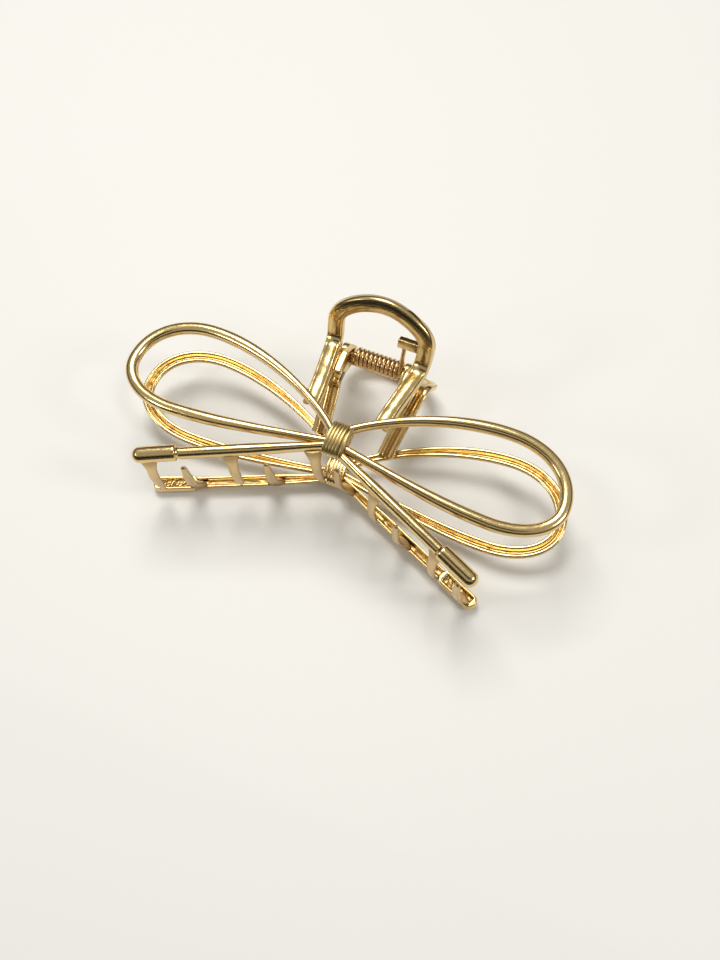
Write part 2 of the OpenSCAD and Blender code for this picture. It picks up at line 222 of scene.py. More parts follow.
def capture(tree, geometry, **fields):
    # keeps each field's value on the geometry, and gives the geometry and then the kept fields
    held = tree.nodes.new("GeometryNodeCaptureAttribute")
    tree.links.new(geometry, held.inputs[0])
    for i, (label, (kind, field)) in enumerate(fields.items()):
        held.capture_items.new(kind, label)
        tree.links.new(field, held.inputs[i + 1])
    return [held.outputs[i] for i in range(len(fields) + 1)]


def markRecess(tree, geometry, value):
    return addNode(tree, "GeometryNodeStoreNamedAttribute",
                   {"Geometry": geometry, "Name": "recess", "Value": value},
                   data_type="FLOAT", domain="POINT").outputs[0]


def finishTree(tree, ends, geometry, material):
    smooth = addNode(tree, "GeometryNodeSetShadeSmooth", {"Geometry": geometry})
    real = addNode(tree, "GeometryNodeRealizeInstances", {"Geometry": smooth.outputs[0]})
    painted = addNode(tree, "GeometryNodeSetMaterial",
                      {"Geometry": real.outputs[0], "Material": material})
    tree.links.new(painted.outputs[0], ends["Geometry"])


def placed(name, data):
    made = bpy.data.objects.new(name, data)
    bpy.context.scene.collection.objects.link(made)
    return made


def meshObject(name, points, faces=(), edges=()):
    mesh = bpy.data.meshes.new(name)
    mesh.from_pydata([tuple(p) for p in points], edges, faces)
    mesh.update()
    return placed(name, mesh)


def turnOutward(mesh):
    work = bmesh.new()
    work.from_mesh(mesh)
    bmesh.ops.remove_doubles(work, verts=work.verts, dist=1e-7)
    bmesh.ops.recalc_face_normals(work, faces=work.faces)
    work.to_mesh(mesh)
    work.free()
    mesh.update()


def grow(source, tree, sizes):
    # runs a tree on an object, and keeps the result as that object's own plain mesh
    modifier = source.modifiers.new(tree.name, "NODES")
    modifier.node_group = tree
    sockets = {s.name: s.identifier for s in tree.interface.items_tree if s.in_out == "INPUT"}
    for label, value in sizes.items():
        modifier[sockets[label]] = value
    view = bpy.context.evaluated_depsgraph_get()
    grown = bpy.data.meshes.new_from_object(source.evaluated_get(view))
    source.modifiers.remove(modifier)
    old = source.data
    source.data = grown
    bpy.data.meshes.remove(old)
    turnOutward(grown)
    return source


def bake(piece):
    # modifiers become mesh
    view = bpy.context.evaluated_depsgraph_get()
    finished = bpy.data.meshes.new_from_object(piece.evaluated_get(view))
    piece.modifiers.clear()
    piece.data = finished
    return piece


def joinPieces(first, others):
    work = bmesh.new()
    for made in (first, *others):
        work.from_mesh(made.data)
    work.to_mesh(first.data)
    work.free()
    for made in others:
        old = made.data
        bpy.data.objects.remove(made)
        bpy.data.meshes.remove(old)
    first.data.update()
    return first


def shadeAndPaint(piece, degrees, metal):
    # corners sharper than this stay crisp, and the rest shades smoothly
    piece.data.shade_smooth()
    piece.data.set_sharp_from_angle(angle=math.radians(degrees))
    piece.data.materials.clear()
    piece.data.materials.append(metalOf[metal])


def settle(piece, half, nodes):
    # puts a finished piece in its place in the row frame, and on its body
    marks = piece.data.attributes
    for name in [a.name for a in marks if a.domain == "POINT" and not a.name.startswith(".")]:
        if name not in ("position", "recess"):
            marks.remove(marks[name])
    piece.data.transform(half["place"])
    piece.data.update()
    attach(piece, half["body"])
    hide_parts(*nodes)
    return piece


def bezier(curve, t):
    a, b, c, d = (np.array(p, float) for p in curve)
    t = np.asarray(t, float)[..., None]
    return (1 - t) ** 3 * a + 3 * (1 - t) ** 2 * t * b + 3 * (1 - t) * t * t * c + t ** 3 * d


def even(points, spacing):
    # the same line with its points a set distance apart
    points = np.array(points, float)
    run = np.concatenate([[0], np.cumsum(np.linalg.norm(np.diff(points, axis=0), axis=1))])
    places = np.linspace(0, run[-1], max(2, round(run[-1] / spacing) + 1))
    return np.stack([np.interp(places, run, points[:, i]) for i in range(points.shape[1])], 1)


def ease(t):
    t = np.clip(t, 0, 1)
    return t * t * (3 - 2 * t)


def turned(profile, around, first, last):
    # a profile of (x, radius) turned about X, and closed at both ends
    turns = np.linspace(0, 2 * math.pi, around, endpoint=False)
    points = [(x, r * math.cos(a), r * math.sin(a)) for x, r in profile for a in turns]
    points += [(first, 0.0, 0.0), (last, 0.0, 0.0)]
    following = [(k, (k + 1) % around) for k in range(around)]
    rows = [(i * around, (i + 1) * around) for i in range(len(profile) - 1)]
    faces = [(low + k, low + n, high + n, high + k) for low, high in rows for k, n in following]
    end = (len(profile) - 1) * around
    faces += [(len(points) - 2, n, k) for k, n in following]
    faces += [(len(points) - 1, end + k, end + n) for k, n in following]
    return np.array(points), faces


def mirrored(points):
    # a right-hand line as its left-hand twin, run the same way along X
    flipped = np.array(points, float)[::-1].copy()
    flipped[:, 0] *= -1
    return flipped


def pathObject(name, line, outward, width):
    # a line of joined points for a tree to sweep along: outward is the side that faces out
    path = meshObject(name, np.array(line) * mm, edges=[(i, i + 1) for i in range(len(line) - 1)])
    facing = path.data.attributes.new("outward", "FLOAT_VECTOR", "POINT")
    facing.data.foreach_set("vector", np.array(outward, np.float32).ravel())
    across = path.data.attributes.new("width", "FLOAT", "POINT")
    across.data.foreach_set("value", (np.array(width) * mm).astype(np.float32))
    return path


def makeCastSkin():
    # long waves and fine grain that a polished casting keeps under its plating
    group, given, out = newEffect(
        "castSkin",
        {"Position": ("Vector", None), "Wave Size": ("Float", 260.0), "Wave": ("Float", 0.5),
         "Grain Size": ("Float", 2600.0), "Grain": ("Float", 0.12), "Pits": ("Float", 0.0)},
        {"Height": "Float", "Patch": "Float"},
    )
    spot = given["Position"]
    wave = noise(spot, given["Wave Size"], 2.0, 0.45)
    grain = noise(spot, given["Grain Size"], 4.0, 0.6)
    pits = addNode(group, "ShaderNodeTexVoronoi", {"Vector": spot, "Scale": given["Wave Size"]},
                   feature="SMOOTH_F1")
    pitDepth = times(between(pits.outputs["Distance"], 0.05, 0.6), given["Pits"])
    skin = plus(times(wave, given["Wave"]), times(grain, given["Grain"]))
    group.links.new(plus(skin, pitDepth), out["Height"])
    patch = noise(spot, times(given["Wave Size"], 0.4), 3.0)
    group.links.new(between(patch, 0.3, 0.7), out["Patch"])
    return group


def makePlatedToneAndShade():
    # the plating's colour, bright on the faces, with painted shade: a deeper colour where the casting is
    # hollow, partly its rougher cast finish and partly shade painted into recesses, creases and tooth roots
    group, given, out = newEffect(
        "platedToneAndShade",
        {"Face Colour": ("Color", None), "Hollow Shade Colour": ("Color", None),
         "Tired Colour": ("Color", None), "Hollow": ("Float", 0.0), "Patch": ("Float", 0.0),
         "Patchiness": ("Float", 0.2)},
        {"Colour": "Color", "Dullness": "Float"},
    )
    tired = times(given["Patch"], given["Patchiness"])
    face = colourMix(tired, given["Face Colour"], given["Tired Colour"])
    group.links.new(colourMix(given["Hollow"], face, given["Hollow Shade Colour"]), out["Colour"])
    dull = calc("ADD", times(given["Hollow"], 0.7), tired, clamp=True)
    group.links.new(dull, out["Dullness"])
    return group


def makeHandWear():
    # soft rubbed patches and fine scratches from handling
    group, given, out = newEffect(
        "handWear",
        {"Position": ("Vector", None), "Size": ("Float", 140.0), "Amount": ("Float", 0.4)},
        {"Wear": "Float", "Scratch": "Float"},
    )
    rub = noise(given["Position"], given["Size"], 5.0, 0.65)
    wear = times(between(rub, 0.48, 0.72), given["Amount"])
    group.links.new(wear, out["Wear"])
    stretched = vectorCalc("MULTIPLY", given["Position"], (1.0, 9.0, 5.0))
    lines = noise(stretched, times(given["Size"], 9.0), 2.0)
    scratch = times(between(lines, 0.62, 0.68), given["Amount"])
    group.links.new(scratch, out["Scratch"])
    return group


castSkin = makeCastSkin()
platedToneAndShade = makePlatedToneAndShade()
handWear = makeHandWear()


def rgb(r, g, b):
    return (r, g, b, 1.0)


# each metal's hollow colour is painted shade for its recesses, creases and tooth roots, over the rougher
# cast finish in its channels
metals = {
    "polishedGold": {
        "face": rgb(0.80, 0.59, 0.27), "hollow": rgb(0.52, 0.345, 0.13), "tired": rgb(0.66, 0.48, 0.20),
        "rough": 0.16, "hollowRough": 0.24, "patchiness": 0.25,
        "wave": 0.9, "waveSize": 190.0, "grain": 0.05, "grainSize": 2400.0, "pits": 0.0, "bump": 0.00022,
        "wear": 0.35,
    },
    "knotGold": {
        "face": rgb(0.86, 0.66, 0.34), "hollow": rgb(0.56, 0.42, 0.18), "tired": rgb(0.76, 0.57, 0.28),
        "rough": 0.18, "hollowRough": 0.34, "patchiness": 0.3,
        "wave": 0.5, "waveSize": 320.0, "grain": 0.05, "grainSize": 2800.0, "pits": 0.0, "bump": 0.00018,
        "wear": 0.35,
    },
    "toothGold": {
        "face": rgb(0.74, 0.545, 0.29), "hollow": rgb(0.50, 0.34, 0.14), "tired": rgb(0.60, 0.44, 0.23),
        "rough": 0.31, "hollowRough": 0.36, "patchiness": 0.35,
        "wave": 1.0, "waveSize": 320.0, "grain": 0.16, "grainSize": 3000.0, "pits": 0.2, "bump": 0.00022,
        "wear": 0.5,
    },
    "pinGold": {
        "face": rgb(0.72, 0.50, 0.24), "hollow": rgb(0.66, 0.42, 0.18), "tired": rgb(0.55, 0.38, 0.18),
        "rough": 0.22, "hollowRough": 0.3, "patchiness": 0.3,
        "wave": 0.5, "waveSize": 380.0, "grain": 0.1, "grainSize": 3200.0, "pits": 0.0, "bump": 0.00016,
        "wear": 0.5,
    },
    "springWire": {
        "face": rgb(0.79, 0.56, 0.29), "hollow": rgb(0.45, 0.28, 0.13), "tired": rgb(0.60, 0.38, 0.18),
        "rough": 0.2, "hollowRough": 0.3, "patchiness": 0.35,
        "wave": 0.4, "waveSize": 420.0, "grain": 0.08, "grainSize": 3600.0, "pits": 0.0, "bump": 0.00012,
        "wear": 0.5,
    },
}
metalFinish = {"dulling": 0.04, "rubbing": 0.12, "scratching": 0.05, "relief": 0.35}


def newMaterial(name):
    material = bpy.data.materials.new(name)
    material.use_nodes = True
    return material, material.node_tree, material.node_tree.nodes["Principled BSDF"]


def makeMetal(name, metal):
    material, tree, shader = newMaterial(name)
    position = addNode(tree, "ShaderNodeTexCoord").outputs["Object"]
    hollow = addNode(tree, "ShaderNodeAttribute", attribute_name="recess").outputs["Fac"]

    def effect(group, inputs):
        return addNode(tree, "ShaderNodeGroup", inputs, node_tree=group).outputs

    skin = effect(castSkin, {
        "Position": position, "Wave Size": metal["waveSize"], "Wave": metal["wave"],
        "Grain Size": metal["grainSize"], "Grain": metal["grain"], "Pits": metal["pits"],
    })
    wear = effect(handWear, {"Position": position, "Amount": metal["wear"]})
    # the recess mark mixes in the hollow colour, which paints shade into the recesses
    toneAndShade = effect(platedToneAndShade, {
        "Face Colour": metal["face"], "Hollow Shade Colour": metal["hollow"], "Tired Colour": metal["tired"],
        "Hollow": hollow, "Patchiness": metal["patchiness"], "Patch": skin["Patch"],
    })
    tree.links.new(toneAndShade["Colour"], shader.inputs["Base Color"])
    duller = metal["hollowRough"] - metal["rough"] + metalFinish["dulling"]
    dulled = plus(times(toneAndShade["Dullness"], duller), metal["rough"])
    rough = plus(dulled, times(wear["Wear"], metalFinish["rubbing"]))
    tree.links.new(rough, shader.inputs["Roughness"])
    scratched = minus(skin["Height"], times(wear["Scratch"], metalFinish["scratching"]))
    bump = addNode(tree, "ShaderNodeBump",
                   {"Strength": metalFinish["relief"], "Distance": metal["bump"], "Height": scratched})
    tree.links.new(bump.outputs["Normal"], shader.inputs["Normal"])
    shader.inputs["Metallic"].default_value = 1.0
    return material


metalOf = {name: makeMetal(name, metal) for name, metal in metals.items()}
print("metals made:", ", ".join(metalOf))


def makeCastStrand():
    # sweeps a rounded front and a two-ridged, hammered back along a line
    tree, given, ends = newTree("castStrand", {
        **millimetres(thickness=2, ridgeWidth=0.6, ridgeCrown=0.15, channelDepth=0.8, channelRamp=0.35,
                      hammerDepth=0.2, hammerSize=1.2, waviness=0.04, rimWidth=0.4, rimDepth=0),
        "Front Squareness": ("Float", 0.7), "Sides": ("Int", 56), "Seed": ("Float", 0.0),
    })
    curve = addNode(tree, "GeometryNodeMeshToCurve", {"Mesh": given["Geometry"]}).outputs[0]
    path, spot, forward = capture(
        tree, curve,
        Spot=("VECTOR", here(tree)),
        Forward=("VECTOR", addNode(tree, "GeometryNodeInputTangent").outputs[0]))
    circle = addNode(tree, "GeometryNodeCurvePrimitiveCircle",
                     {"Resolution": given["Sides"], "Radius": mm}).outputs[0]
    ring, turn = capture(
        tree, circle, Turn=("FLOAT", addNode(tree, "GeometryNodeSplineParameter").outputs["Factor"]))
    swept = addNode(tree, "GeometryNodeCurveToMesh",
                    {"Curve": path, "Profile Curve": ring, "Fill Caps": True}).outputs[0]

    outward = readAttribute(tree, "outward", "FLOAT_VECTOR")
    width = readAttribute(tree, "width")
    across = vectorCalc("NORMALIZE", vectorCalc("CROSS_PRODUCT", outward, forward))
    out = vectorCalc("NORMALIZE", vectorCalc("CROSS_PRODUCT", forward, across))

    angle = times(turn, 2 * math.pi)
    halfWidth = times(width, 0.5)
    side = times(calc("COSINE", angle), halfWidth)
    rise = calc("SINE", angle)
    crown = given["Ridge Crown"]
    back = times(given["Thickness"], -0.5)
    foot = plus(back, crown)
    frontRise = calc("POWER", calc("MAXIMUM", rise, 0.0), given["Front Squareness"])
    front = timesPlus(frontRise, minus(given["Thickness"], crown), foot)
    # a thin raised rim along both edges of the front
    fromEdge = minus(halfWidth, calc("ABSOLUTE", side))
    inRim = between(fromEdge, times(given["Rim Width"], 0.5), given["Rim Width"])
    front = minus(front, times(inRim, given["Rim Depth"]))

    hollow = between(minus(fromEdge, given["Ridge Width"]), 0.0, given["Channel Ramp"])
    onRidge = minus(over(times(fromEdge, 2.0), given["Ridge Width"]), 1.0)
    ridge = timesPlus(minus(1.0, archOf(times(onRidge, onRidge))), crown, back)
    rear = timesPlus(hollow, given["Channel Depth"], calc("MINIMUM", ridge, foot))

    moved = shifted(spot, across, side)
    seeded = vectorCalc("ADD", moved, fromAxes(0.0, 0.0, given["Seed"]))
    cells = addNode(tree, "ShaderNodeTexVoronoi",
                    {"Vector": seeded, "Scale": over(1.0, given["Hammer Size"])}, feature="SMOOTH_F1")
    crumple = noise(seeded, over(0.8, given["Hammer Size"]), 3.0)
    dent = minus(plus(cells.outputs["Distance"], crumple), 0.9)
    # the hammering comes and goes along the strand
    struck = between(noise(seeded, 75.0, 1.0), 0.4, 0.6, 0.3, 1.0)
    rear = minus(rear, times(times(dent, times(given["Hammer Depth"], struck)), hollow))

    isFront = calc("GREATER_THAN", rise, 0.0)
    height = timesPlus(isFront, minus(front, rear), rear)
    lower = calc("MINIMUM", minus(noise(seeded, 210.0, 1.0), 0.75), 0.0)
    height = timesPlus(times(lower, given["Waviness"]), isFront, height)
    shaped = moveTo(swept, shifted(moved, out, height))
    # the back channel is marked as a recess, so the hollow colour paints shade into it over its hammered,
    # rough-cast finish
    marked = markRecess(tree, shaped, times(hollow, minus(1.0, isFront)))
    finishTree(tree, ends, marked, given["Material"])
    return tree


castStrand = makeCastStrand()


def castAlong(piece, sizes, seed):
    # casts a piece along its line, to the sizes in its dictionary
    lengths = {
        "Thickness": "thickness", "Ridge Width": "ridge", "Ridge Crown": "crown",
        "Channel Depth": "channel", "Channel Ramp": "ramp", "Hammer Depth": "hammer",
        "Hammer Size": "hammerSize", "Waviness": "waviness", "Rim Width": "rim", "Rim Depth": "rimDepth",
    }
    inputs = {label: sizes[key] * mm for label, key in lengths.items() if key in sizes}
    return grow(piece, castStrand, {
        **inputs, "Front Squareness": sizes["squareness"], "Sides": sizes["sides"], "Seed": seed,
        "Material": metalOf["polishedGold"],
    })


bow = {        # millimetres, from the hinge line
    "halfWidth": 54.0, "rise": 9.4, "slope": 0.042, "droop": 3.0,
    "knotDrop": 25.0, "knotHeight": 8.4, "knotDepth": 5.0, "knotShift": 0.8,
    "turnWidth": 0.75, "turns": 5, "turnGap": 0.3,
}
turnsWidth = bow["turnWidth"] * bow["turns"]
knotLeft = bow["knotShift"] - turnsWidth / 2
knotRight = bow["knotShift"] + turnsWidth / 2 + bow["turnGap"] + bow["turnWidth"]
knotY = -bow["knotDrop"]
strandStart = -knotLeft - 0.4
droopRate = bow["droop"] / bow["halfWidth"] ** 2


def bowHeight(x, y):
    return bow["rise"] - bow["slope"] * y - droopRate * x * x


def onBow(flat):
    flat = np.atleast_2d(flat)
    return np.column_stack([flat[:, 0], flat[:, 1], bowHeight(flat[:, 0], flat[:, 1])])


def bowNormal(line):
    level = np.ones(len(line))
    facing = np.column_stack([2 * droopRate * line[:, 0], bow["slope"] * level, level])
    return facing / np.linalg.norm(facing, axis=1)[:, None]


loopSizes = {        # millimetres, from the hinge line
    "topDrop": 9.2, "topOut": 37.2, "tipDrop": 21.5, "bottomDrop": 30.6, "bottomOut": 38.0,
    "width": 2.86, "boundWidth": 1.9, "thickness": 2.0, "spacing": 0.4, "tipRoom": 0.1, "swellRun": 30.0,
    "ridge": 0.88, "crown": 0.3, "channel": 0.7, "ramp": 0.3, "squareness": 0.6, "sides": 56,
    "hammer": 0.26, "hammerSize": 1.3, "waviness": 0.08,
}


def loopLine():
    s = loopSizes
    tipX = bow["halfWidth"] - s["width"] / 2 - s["tipRoom"]
    upper = np.array([strandStart, knotY + bow["knotHeight"] * 0.18])
    lower = np.array([strandStart, knotY - bow["knotHeight"] * 0.1])
    top = np.array([s["topOut"], -s["topDrop"]])
    tip = np.array([tipX, -s["tipDrop"]])
    bottom = np.array([s["bottomOut"], -s["bottomDrop"]])
    roundShare = 0.58
    curves = [
        [upper, upper + [5, 5.2], top - [15, 0], top],
        [top, top + [roundShare * (tipX - s["topOut"]), 0],
         tip + [0, roundShare * (s["tipDrop"] - s["topDrop"])], tip],
        [tip, tip - [0, roundShare * (s["bottomDrop"] - s["tipDrop"])],
         bottom + [roundShare * (tipX - s["bottomOut"]), 0], bottom],
        [bottom, bottom - [11, 0], lower + [15, -2.6], lower],
    ]
    flat = np.vstack([bezier(c, np.linspace(0, 1, 60)) for c in curves])
    keep = np.concatenate([[True], np.linalg.norm(np.diff(flat, axis=0), axis=1) > 1e-6])
    return onBow(even(flat[keep], s["spacing"]))


def strandWidth(x):
    s = loopSizes
    swell = ease((np.abs(x) - knotRight) / s["swellRun"])
    return s["boundWidth"] + (s["width"] - s["boundWidth"]) * swell


def makeLoop(name, half, right, nodes):
    line = loopLine() if right else mirrored(loopLine())
    piece = pathObject(name, line, bowNormal(line), strandWidth(line[:, 0]))
    castAlong(piece, loopSizes, 0.1 * half["seed"] + right)
    return settle(piece, half, nodes)


for side, half, right, seen in halfCastings():
    makeLoop(f"{side}Loop_{seen}", half, right, [f"{side}_{seen}_loop"])
print("loops made")


tailSizes = {        # millimetres and degrees
    "angle": 23.5, "startDrop": 26.9, "length": 33.2, "width": 2.7, "thickness": 2.0, "spacing": 0.4,
    "swellRate": 1.8, "ridge": 0.6, "crown": 0.15, "channel": 0.75, "ramp": 0.35, "squareness": 0.7,
    "sides": 56, "hammer": 0.42, "hammerSize": 1.1, "waviness": 0.12,
}
capSizes = {        # millimetres
    "diameter": 3.74, "length": 10.76, "groove": 0.5, "grooveDepth": 0.6, "back": 1.1,
    "wall": 0.35, "wallRamp": 0.45, "endWall": 0.9, "hollow": 0.75, "roughness": 0.35, "around": 72,
}
tailTurn = math.radians(tailSizes["angle"])
tailStart = np.array([strandStart, -tailSizes["startDrop"]])
tailRun = np.array([math.cos(tailTurn), -math.sin(tailTurn)])


def tailAt(s):
    return tailStart + tailRun * np.asarray(s, float)[..., None]


def makeTail(name, half, right, nodes):
    s = tailSizes
    along = np.linspace(0, s["length"], round(s["length"] / s["spacing"]) + 1)
    line = onBow(tailAt(along))
    swell = ease(s["swellRate"] * along / s["length"])
    width = loopSizes["boundWidth"] + (s["width"] - loopSizes["boundWidth"]) * swell
    if not right:
        line, width = mirrored(line), width[::-1]
    piece = pathObject(name, line, bowNormal(line), width)
    castAlong(piece, s, 0.7 * half["seed"] + right)
    return settle(piece, half, nodes)


def makeCap(name, half, right, nodes):
    # a bullet-shaped end: grooved neck, round end, and a hollow, rough-cast back
    s = capSizes
    radius, length, groove = s["diameter"] / 2, s["length"], s["groove"]
    profile = [(0.0, radius - s["grooveDepth"]), (groove - 0.12, radius - s["grooveDepth"]),
               (groove, radius - 0.32), (groove + 0.14, radius - 0.08), (groove + 0.34, radius)]
    profile += [(x, radius) for x in np.linspace(groove + 0.7, length - radius, 30)]
    profile += [(length - radius + radius * math.sin(a), radius * math.cos(a))
                for a in np.linspace(0, math.pi / 2, 18)[1:-1]]
    points, faces = turned(profile, s["around"], 0.0, length)
    draw = np.random.default_rng(half["seed"] + right)
    bumps = draw.random((6, 3)) * 6
    floor = -s["back"]
    below = points[:, 2] < floor
    flatWidth = math.sqrt(radius ** 2 - floor ** 2)
    toEnds = np.minimum(points[:, 0] - s["endWall"], length - s["endWall"] - points[:, 0])
    room = np.minimum(flatWidth - np.abs(points[:, 1]), toEnds)
    hollow = ease((room - s["wall"]) / s["wallRamp"]) * below
    rough = sum(np.sin(points @ (b + 1.5) + i) for i, b in enumerate(bumps)) / len(bumps)
    sunk = floor + hollow * (s["hollow"] + s["roughness"] * rough)
    points[:, 2] = np.where(below, sunk, points[:, 2])
    piece = meshObject(name, points * mm, faces)
    # the rough-cast hollow is marked as a recess, so the hollow colour paints shade into it over its rough
    # finish
    recess = piece.data.attributes.new("recess", "FLOAT", "POINT")
    recess.data.foreach_set("value", hollow.astype(np.float32))
    start = onBow(tailAt([tailSizes["length"]]))[0]
    run = onBow(tailAt([tailSizes["length"] + length]))[0] - start
    fall = math.atan2(-run[2], math.hypot(run[0], run[1]))
    turn = Matrix.Rotation(-tailTurn, 4, "Z") @ Matrix.Rotation(fall, 4, "Y")
    piece.data.transform(Matrix.Translation(Vector(start) * mm) @ turn)
    if not right:
        piece.data.transform(Matrix.Scale(-1, 4, (1, 0, 0)))
    turnOutward(piece.data)
    piece.data.shade_smooth()
    piece.data.materials.append(metalOf["polishedGold"])
    return settle(piece, half, nodes)


for side, half, right, seen in halfCastings():
    makeTail(f"{side}Tail_{seen}", half, right, [f"{side}_{seen}_tail"])
    makeCap(f"{side}Cap_{seen}", half, right, [f"{side}_{seen}_cap"])
print("tails and caps made")


knotSizes = {        # millimetres, and rows of faces
    "crease": 0.36, "gapCrease": 0.35, "lean": 0.22, "unevenness": 0.06, "along": 156, "around": 128,
}


def makeWoundTurns():
    # a solid oval whose skin rises and falls with each wound turn
    tree, given, ends = newTree("woundTurns", {
        **millimetres(turnWidth=0.75, lastGap=0.3, height=8.4, depth=5, crease=0.25, gapCrease=0.3,
                      lean=0.2, unevenness=0.1),
        "Turns": ("Int", 5), "Along": ("Int", 100), "Around": ("Int", 96), "Seed": ("Int", 1),
    })
    turnWidth, turns = given["Turn Width"], given["Turns"]
    halfTurn = times(turnWidth, 0.5)
    wound = times(turns, turnWidth)
    whole = plus(plus(wound, turnWidth), given["Last Gap"])
    drum = addNode(tree, "GeometryNodeMeshCylinder",
                   {"Vertices": given["Around"], "Side Segments": given["Along"], "Fill Segments": 3,
                    "Radius": mm, "Depth": mm}, fill_type="TRIANGLE_FAN").outputs["Mesh"]
    at = axes(here(tree))
    share = plus(over(at[2], mm), 0.5)
    x = times(share, whole)
    index = calc("FLOOR", over(x, turnWidth))
    isWound = calc("LESS_THAN", x, wound)
    ownMiddle = times(plus(index, 0.5), turnWidth)
    lastMiddle = minus(whole, halfTurn)
    middle = blendOf(lastMiddle, ownMiddle, isWound)
    off = calc("ABSOLUTE", over(minus(x, middle), halfTurn))
    # each turn is a little flat on top, with a narrow crease beside it
    arc = archOf(calc("POWER", off, 3.2))
    number = blendOf(turns, index, isWound)
    uneven = addNode(tree, "FunctionNodeRandomValue",
                     {2: 0.0, 3: 1.0, "ID": calc("ROUND", number), "Seed": given["Seed"]},
                     data_type="FLOAT").outputs[1]
    sink = timesPlus(minus(1.0, arc), given["Crease"], times(uneven, given["Unevenness"]))
    sink = timesPlus(between(off, 1.0, 1.25), given["Gap Crease"], sink)
    radial = fromAxes(at[0], at[1], 0.0)
    length = addNode(tree, "ShaderNodeVectorMath", {0: radial}, operation="LENGTH").outputs["Value"]
    spread = over(length, mm)
    part = axes(vectorCalc("NORMALIZE", radial))
    tall = minus(times(given["Height"], 0.5), sink)
    deep = minus(times(given["Depth"], 0.5), sink)
    y = times(times(part[0], tall), spread)
    z = times(times(part[1], deep), spread)
    # the turns lean, but the two ends of the knot stay square
    slant = times(times(part[0], spread), given["Lean"])
    slant = times(slant, times(between(share, 0.0, 0.12), between(share, 0.88, 1.0, 1.0, 0.0)))
    shaped = moveTo(drum, fromAxes(plus(x, slant), y, z))
    # the creases between turns are marked as a recess, so the hollow colour paints shade into them
    marked = markRecess(tree, shaped, between(arc, 0.1, 0.45, 1.0, 0.0))
    finishTree(tree, ends, marked, given["Material"])
    return tree


woundTurns = makeWoundTurns()


def makeKnot(name, half, nodes):
    k = knotSizes
    piece = meshObject(name, [(0, 0, 0)])
    grow(piece, woundTurns, {
        "Turns": bow["turns"], "Turn Width": bow["turnWidth"] * mm, "Last Gap": bow["turnGap"] * mm,
        "Height": bow["knotHeight"] * mm, "Depth": bow["knotDepth"] * mm,
        **lengthsIn(k, "crease", "gapCrease", "lean", "unevenness"),
        "Along": k["along"], "Around": k["around"], "Seed": half["seed"],
        "Material": metalOf["knotGold"],
    })
    middle = Vector((knotLeft, knotY, bowHeight(0, knotY))) * mm
    piece.data.transform(Matrix.Translation(middle))
    return settle(piece, half, nodes)


for side, half in halves.items():
    makeKnot(f"{side}Knot", half, [f"{side}_knot"])
print("knots made")


toothSizes = {        # millimetres
    "reach": 37.9, "pitch": 17.2, "count": 5, "length": 16.0, "rootWidth": 4.4, "width": 2.4,
    "thickness": 1.4, "tip": 1.5, "tipThickness": 1.0, "rootSink": 0.5, "unevenness": 0.16,
    "rootOffset": 0.6, "offset": 2.6, "hook": 0.5, "rootExtra": 0.5,
}


def makeToothRow():
    # one tooth drawn straight and tapered, then set at every point of the row
    tree, given, ends = newTree("toothRow", {
        **millimetres(length=16, rootWidth=4.4, width=2.4, rootExtra=0.5, thickness=1.4, tip=1.5,
                      tipThickness=1, rootOffset=0.6, offset=2.6, hook=0.5, unevenness=0.1),
        "Turn": ("Float", 0.4), "Seed": ("Int", 1),
    })
    line = addNode(tree, "GeometryNodeCurvePrimitiveLine", {"Start": (0, 0, 0), "End": (0, 0, -1)})
    line = addNode(tree, "GeometryNodeResampleCurve", {"Curve": line.outputs[0], "Count": 60})
    path, share = capture(
        tree, line.outputs[0],
        Share=("FLOAT", addNode(tree, "GeometryNodeSplineParameter").outputs["Factor"]))
    ring = addNode(tree, "GeometryNodeCurvePrimitiveCircle", {"Resolution": 28, "Radius": 1.0})
    bar = addNode(tree, "GeometryNodeCurveToMesh",
                  {"Curve": path, "Profile Curve": ring.outputs[0], "Fill Caps": True}).outputs[0]
    at = axes(here(tree))

    # share runs from 0 at the root to 1 at the tip
    wide = blendOf(given["Root Width"], given["Width"], between(share, 0.0, 0.3125))
    wide = blendOf(wide, given["Tip"], between(share, 0.55, 1.0))
    rootThick = plus(given["Thickness"], given["Root Extra"])
    thick = blendOf(rootThick, given["Thickness"], between(share, 0.0, 0.333))
    thick = blendOf(thick, given["Tip Thickness"], between(share, 0.6, 1.0))
    left = over(minus(1.0, share), 0.05)        # 1 or more until the last part, which closes round
    close = archOf(calc("POWER", minus(1.0, calc("MINIMUM", left, 1.0)), 2.0), 0.003)
    stand = blendOf(given["Root Offset"], given["Offset"], between(share, -0.026, 0.5))
    stand = minus(stand, times(between(share, 0.7, 1.03), given["Hook"]))
    x = times(times(at[0], times(wide, 0.5)), close)
    y = minus(times(times(at[1], times(thick, 0.5)), close), stand)
    z = times(share, times(given["Length"], -1.0))
    # the root of each tooth is marked as a recess, so the hollow colour paints a shadow where it meets the
    # tail
    tooth = markRecess(tree, moveTo(bar, fromAxes(x, y, z)), between(share, 0.06, 0.24, 1.0, 0.0))
    row = addNode(tree, "GeometryNodeInstanceOnPoints",
                  {"Points": given["Geometry"], "Instance": tooth,
                   "Rotation": fromAxes(0.0, 0.0, given["Turn"])})
    real = addNode(tree, "GeometryNodeRealizeInstances", {"Geometry": row.outputs[0]}).outputs[0]
    lumps = addNode(tree, "ShaderNodeTexNoise",
                    {"Vector": here(tree), "W": given["Seed"], "Scale": 420.0, "Detail": 2.0},
                    noise_dimensions="4D")
    lump = times(minus(lumps.outputs["Fac"], 0.6), given["Unevenness"])
    outward = addNode(tree, "GeometryNodeInputNormal").outputs[0]
    pushed = addNode(tree, "GeometryNodeSetPosition",
                     {"Geometry": real, "Offset": vectorCalc("SCALE", outward, lump)})
    finishTree(tree, ends, pushed.outputs[0], given["Material"])
    return tree


toothRow = makeToothRow()


